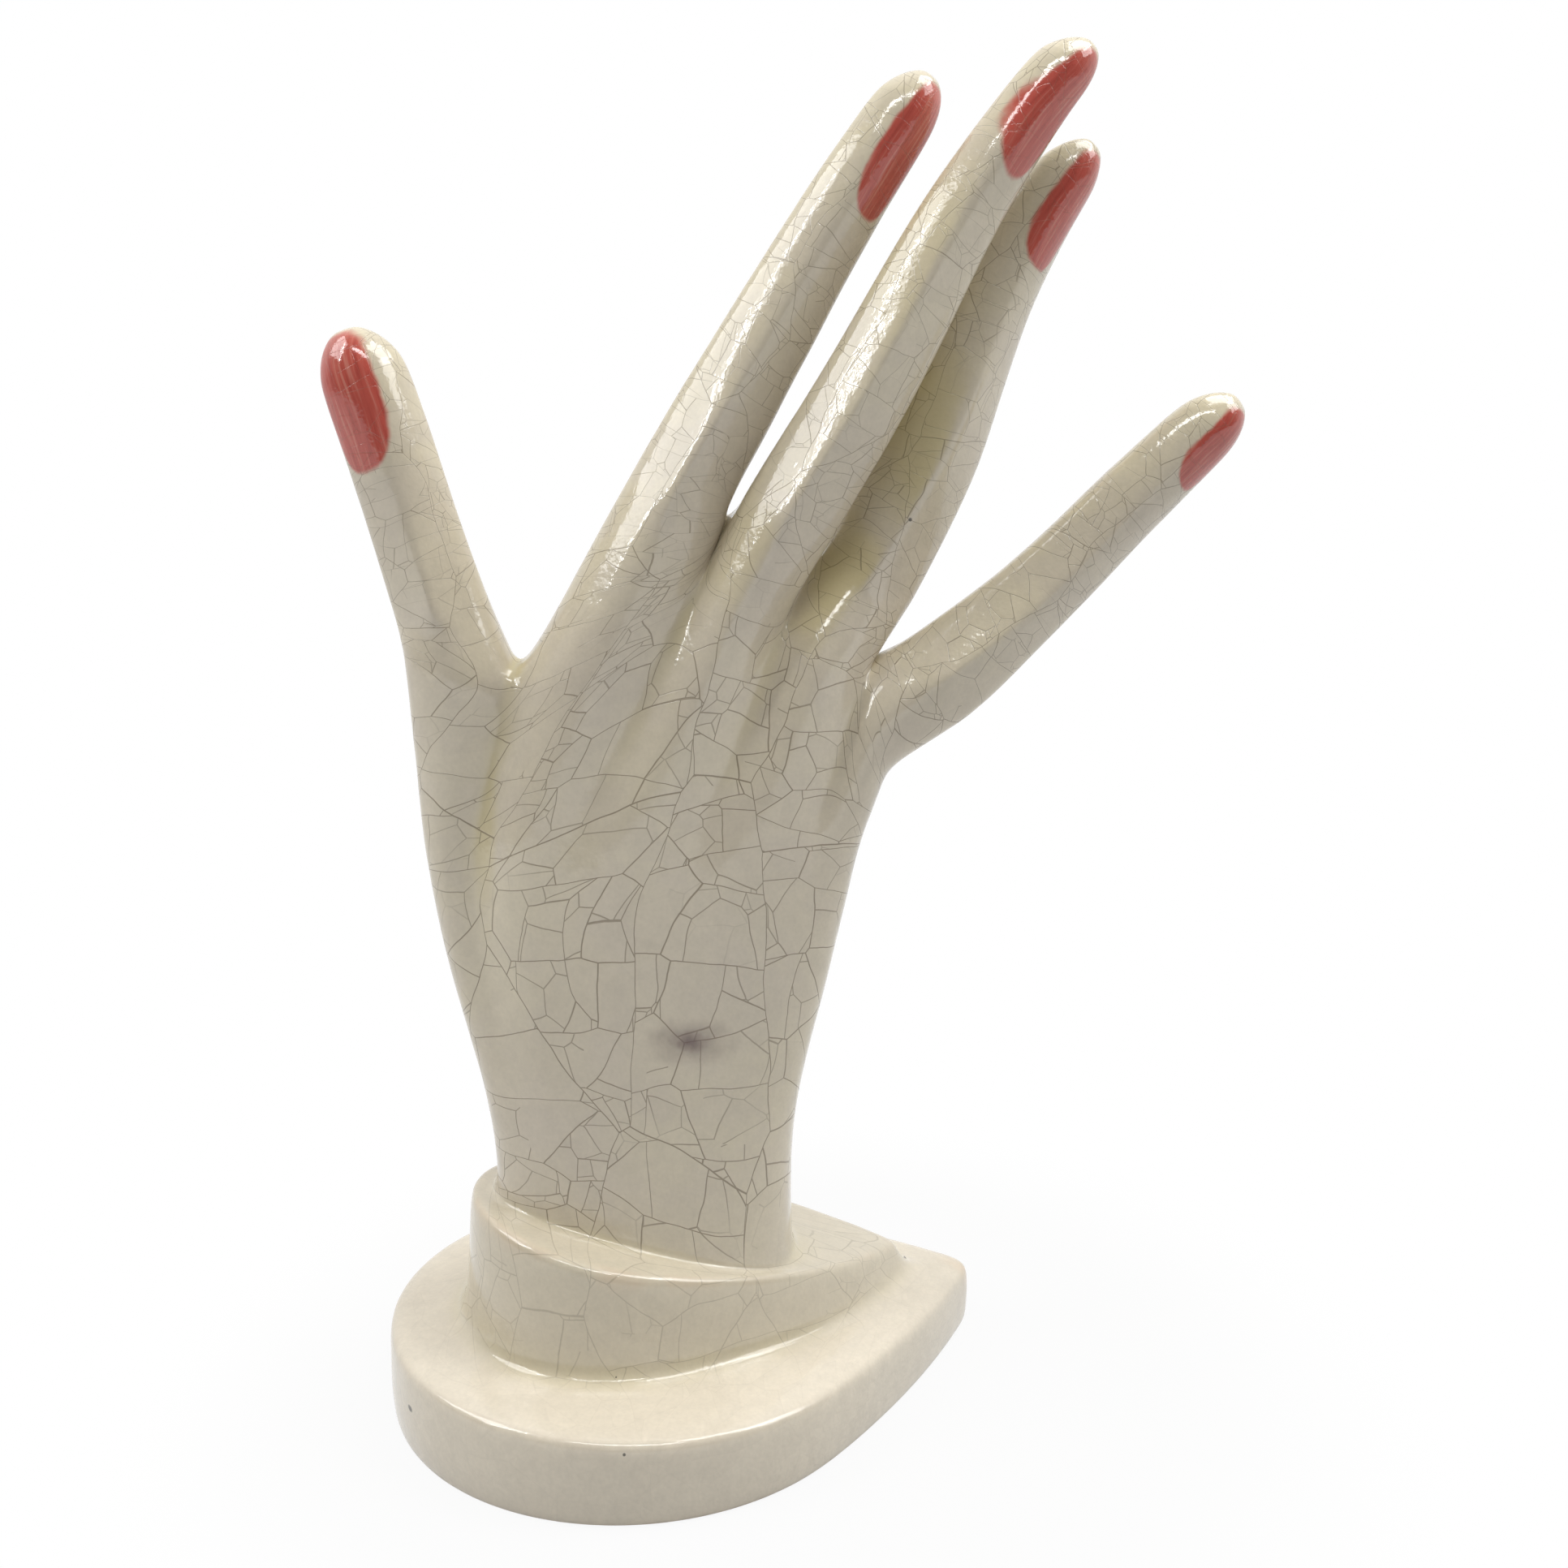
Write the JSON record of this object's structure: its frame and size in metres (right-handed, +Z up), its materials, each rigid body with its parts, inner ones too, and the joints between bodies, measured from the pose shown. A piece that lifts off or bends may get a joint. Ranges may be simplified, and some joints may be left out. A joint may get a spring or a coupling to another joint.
{
  "type": "hand jewelry stand",
  "caption": "Glazed ceramic lady's hand that rises from a wedge cuff on a teardrop plinth, with spread fingers to hold rings, chains and bracelets.",
  "frame": {"origin": "middle of the bounding box, on the surface the stand rests on", "axes": "+Z up along the hand; the back of the hand faces -Y; the thumb is towards -X and the little finger and the plinth's point towards +X"},
  "size_m": [0.1632, 0.0952, 0.245],
  "materials": {
    "cream_glaze": null
  },
  "bodies": {
    "root": {"ceramic_hand": "cream_glaze"}
  },
  "joints": []
}
